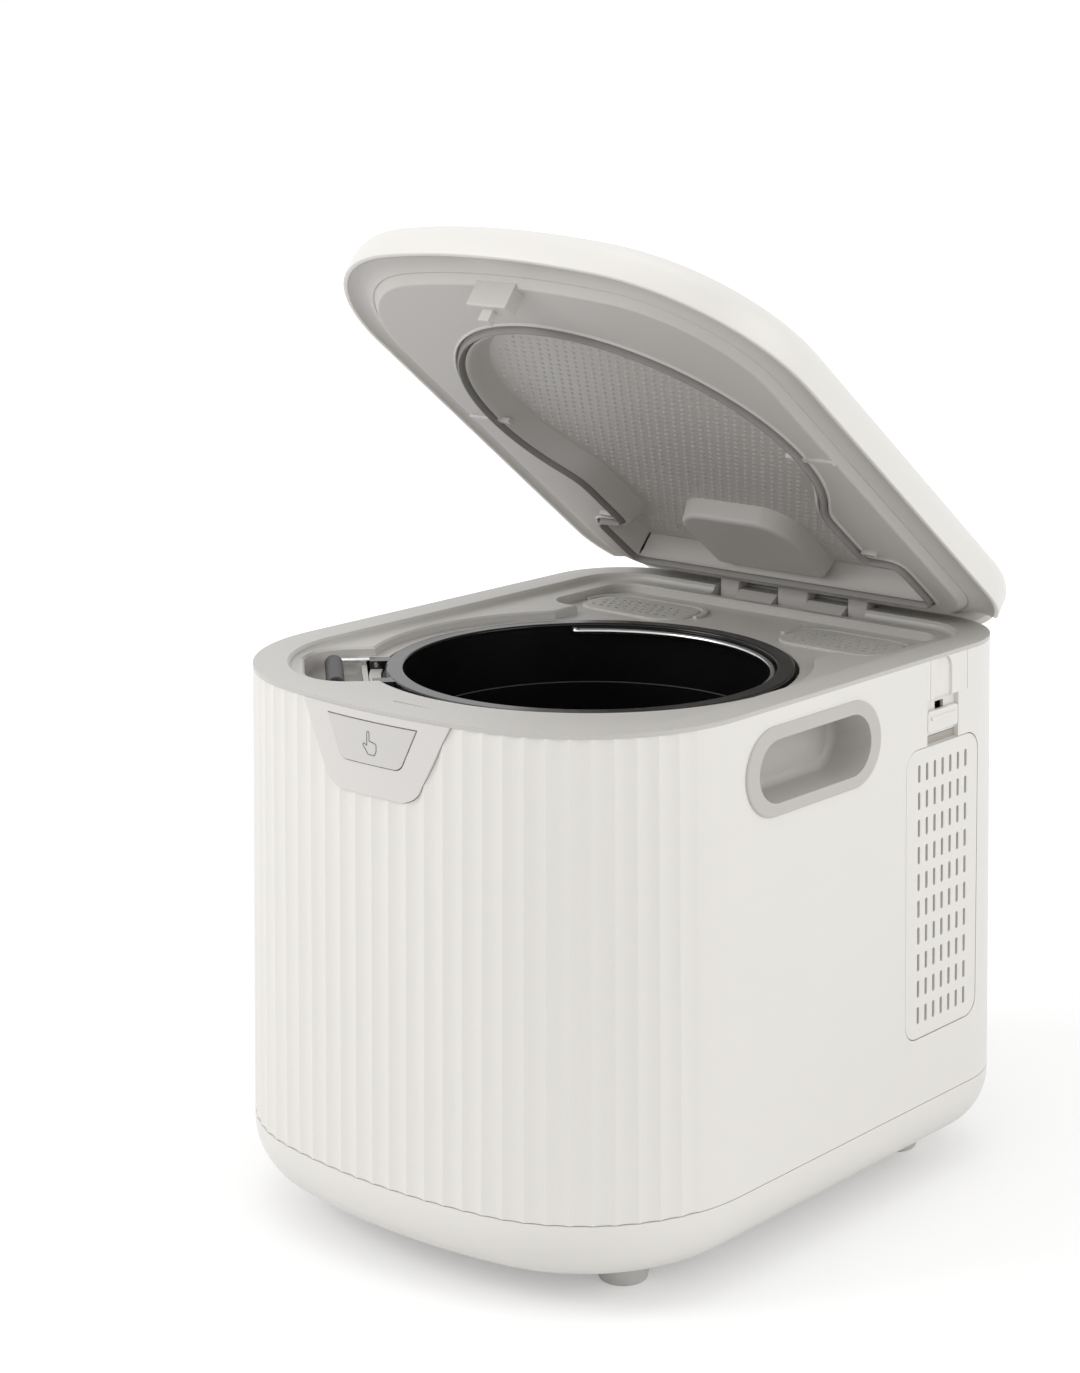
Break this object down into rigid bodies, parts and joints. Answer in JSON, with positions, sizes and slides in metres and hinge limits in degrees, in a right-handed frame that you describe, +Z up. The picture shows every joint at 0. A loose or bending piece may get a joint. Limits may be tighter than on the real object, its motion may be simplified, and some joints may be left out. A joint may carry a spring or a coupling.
{
  "type": "electric food waste composter",
  "caption": "Free-standing electric composter: fluted off-white body on a rounded tray, hinged off-white lid with gasket, lift-out bucket with agitator, filter drawer in the side.",
  "frame": {"origin": "middle of the whole part's footprint at rest, on the surface it stands on", "axes": "+Z up, -Y the front with the release button, +X the side with the filter drawer"},
  "size_m": [0.27, 0.3347, 0.4666],
  "materials": {
    "shell_white": "fine satin grain, warm off-white",
    "tray_white": "fine satin grain, warm off-white",
    "lid_white": "fine satin grain, warm off-white",
    "liner_grey": "satin light grey moulding",
    "gasket_grey": "soft silicone",
    "panel_grey": "fine honeycomb relief",
    "deck_grey": "satin light grey moulding",
    "apron_white": "satin off-white inlay",
    "button_white": "satin off-white, printed line pictogram",
    "door_white": "fine satin grain",
    "latch_white": "satin moulding",
    "guide_grey": "plain moulding",
    "frame_dark": "plain dark moulding",
    "cavity_grey": "satin moulding",
    "foot_rubber": "matt pale grey",
    "seal_rubber": "matt",
    "coated_pot": "black non-stick coat",
    "collar_black": "polished black",
    "grip_black": "matt black",
    "bare_aluminium": "spun, satin",
    "wire_steel": "drawn wire",
    "plain_steel": "bright zinc",
    "bronze": "sintered",
    "board_green": "solder-masked board",
    "carbon_black": "pleated carbon block",
    "heater_foil": "foil-faced band"
  },
  "bodies": {
    "housing": {"body_shell": "shell_white", "base_tray": "tray_white", "deck": "deck_grey", "vent_cover_left": "deck_grey", "vent_cover_right": "deck_grey", "front_apron": "apron_white", "button_guide": "guide_grey", "latch_plate": "guide_grey", "filter_sleeve": "frame_dark", "fan_frame": "frame_dark", "hand_hold_left": "cavity_grey", "hand_hold_right": "cavity_grey", "pot_housing": "bare_aluminium", "pot_seal": "seal_rubber", "heater_band": "heater_foil", "drive_bridge": "plain_steel", "bridge_posts": "plain_steel", "gear_case": "frame_dark", "motor_can": "plain_steel", "drive_bearing": "bronze", "control_board": "board_green", "board_stand": "guide_grey", "power_inlet": "frame_dark", "base_screws": "plain_steel", "hinge_pin": "plain_steel", "foot_front_left": "foot_rubber", "foot_front_right": "foot_rubber", "foot_rear_left": "foot_rubber", "foot_rear_right": "foot_rubber"},
    "lid": {"lid_shell": "lid_white", "lid_liner": "liner_grey", "lid_gasket": "gasket_grey", "lid_panel": "panel_grey", "lid_pocket": "liner_grey", "lid_latch": "liner_grey"},
    "button": {"release_button": "button_white"},
    "bucket": {"bucket_pot": "coated_pot", "bucket_collar": "collar_black", "bucket_bush": "bronze"},
    "bail": {"bail": "wire_steel"},
    "tilt_handle": {"tilt_handle": "wire_steel"},
    "grip": {"grip_roller": "grip_black"},
    "drive": {"drive_shaft": "plain_steel"},
    "agitator": {"agitator": "coated_pot"},
    "fan": {"fan_rotor": "frame_dark"},
    "drawer": {"filter_door": "door_white", "filter_frame": "frame_dark", "carbon_filter": "carbon_black"},
    "filter_latch": {"filter_latch": "latch_white"}
  },
  "joints": [
    {"name": "lid_hinge", "type": "hinge", "parent": "housing", "child": "lid", "pos_m": [0, 0.14814, 0.2589], "axis": [-1, 0, 0], "range_deg": [-37.85, 22.15]},
    {"name": "button_press", "type": "slide", "parent": "housing", "child": "button", "axis": [0, 1, 0], "range_m": [0, 0.003], "stiffness_N_per_m": 400},
    {"name": "bucket_lift", "type": "slide", "parent": "housing", "child": "bucket", "axis": [0, 0, 1], "range_m": [0, 0.03]},
    {"name": "bail_swing", "type": "hinge", "parent": "bucket", "child": "bail", "pos_m": [0, -0.01586, 0.255], "axis": [0.7071, -0.7071, 0], "range_deg": [0, 90]},
    {"name": "tilt_handle_swing", "type": "hinge", "parent": "bucket", "child": "tilt_handle", "pos_m": [-0.06897, -0.08854, 0.2565], "axis": [-0.7254, 0.6884, 0], "range_deg": [0, 95]},
    {"name": "grip_spin", "type": "hinge", "parent": "tilt_handle", "child": "grip", "pos_m": [-0.0826, -0.1029, 0.2565], "axis": [-0.7254, 0.6884, 0], "continuous": true},
    {"name": "drive_spin", "type": "hinge", "parent": "housing", "child": "drive", "pos_m": [0, -0.01586, 0.09], "axis": [0, 0, 1], "continuous": true},
    {"name": "agitator_spin", "type": "hinge", "parent": "bucket", "child": "agitator", "pos_m": [0, -0.01586, 0.12], "axis": [0, 0, 1], "continuous": true},
    {"name": "fan_spin", "type": "hinge", "parent": "housing", "child": "fan", "pos_m": [0.061, 0.10214, 0.15], "axis": [1, 0, 0], "continuous": true},
    {"name": "filter_drawer", "type": "slide", "parent": "housing", "child": "drawer", "axis": [1, 0, 0], "range_m": [0, 0.05]},
    {"name": "filter_latch_slide", "type": "slide", "parent": "housing", "child": "filter_latch", "axis": [-0.0209, 0, 0.9998], "range_m": [0, 0.005], "stiffness_N_per_m": 150}
  ],
  "couplings": [
    {"joint": "agitator_spin", "follows": "drive_spin", "ratio": 1}
  ]
}
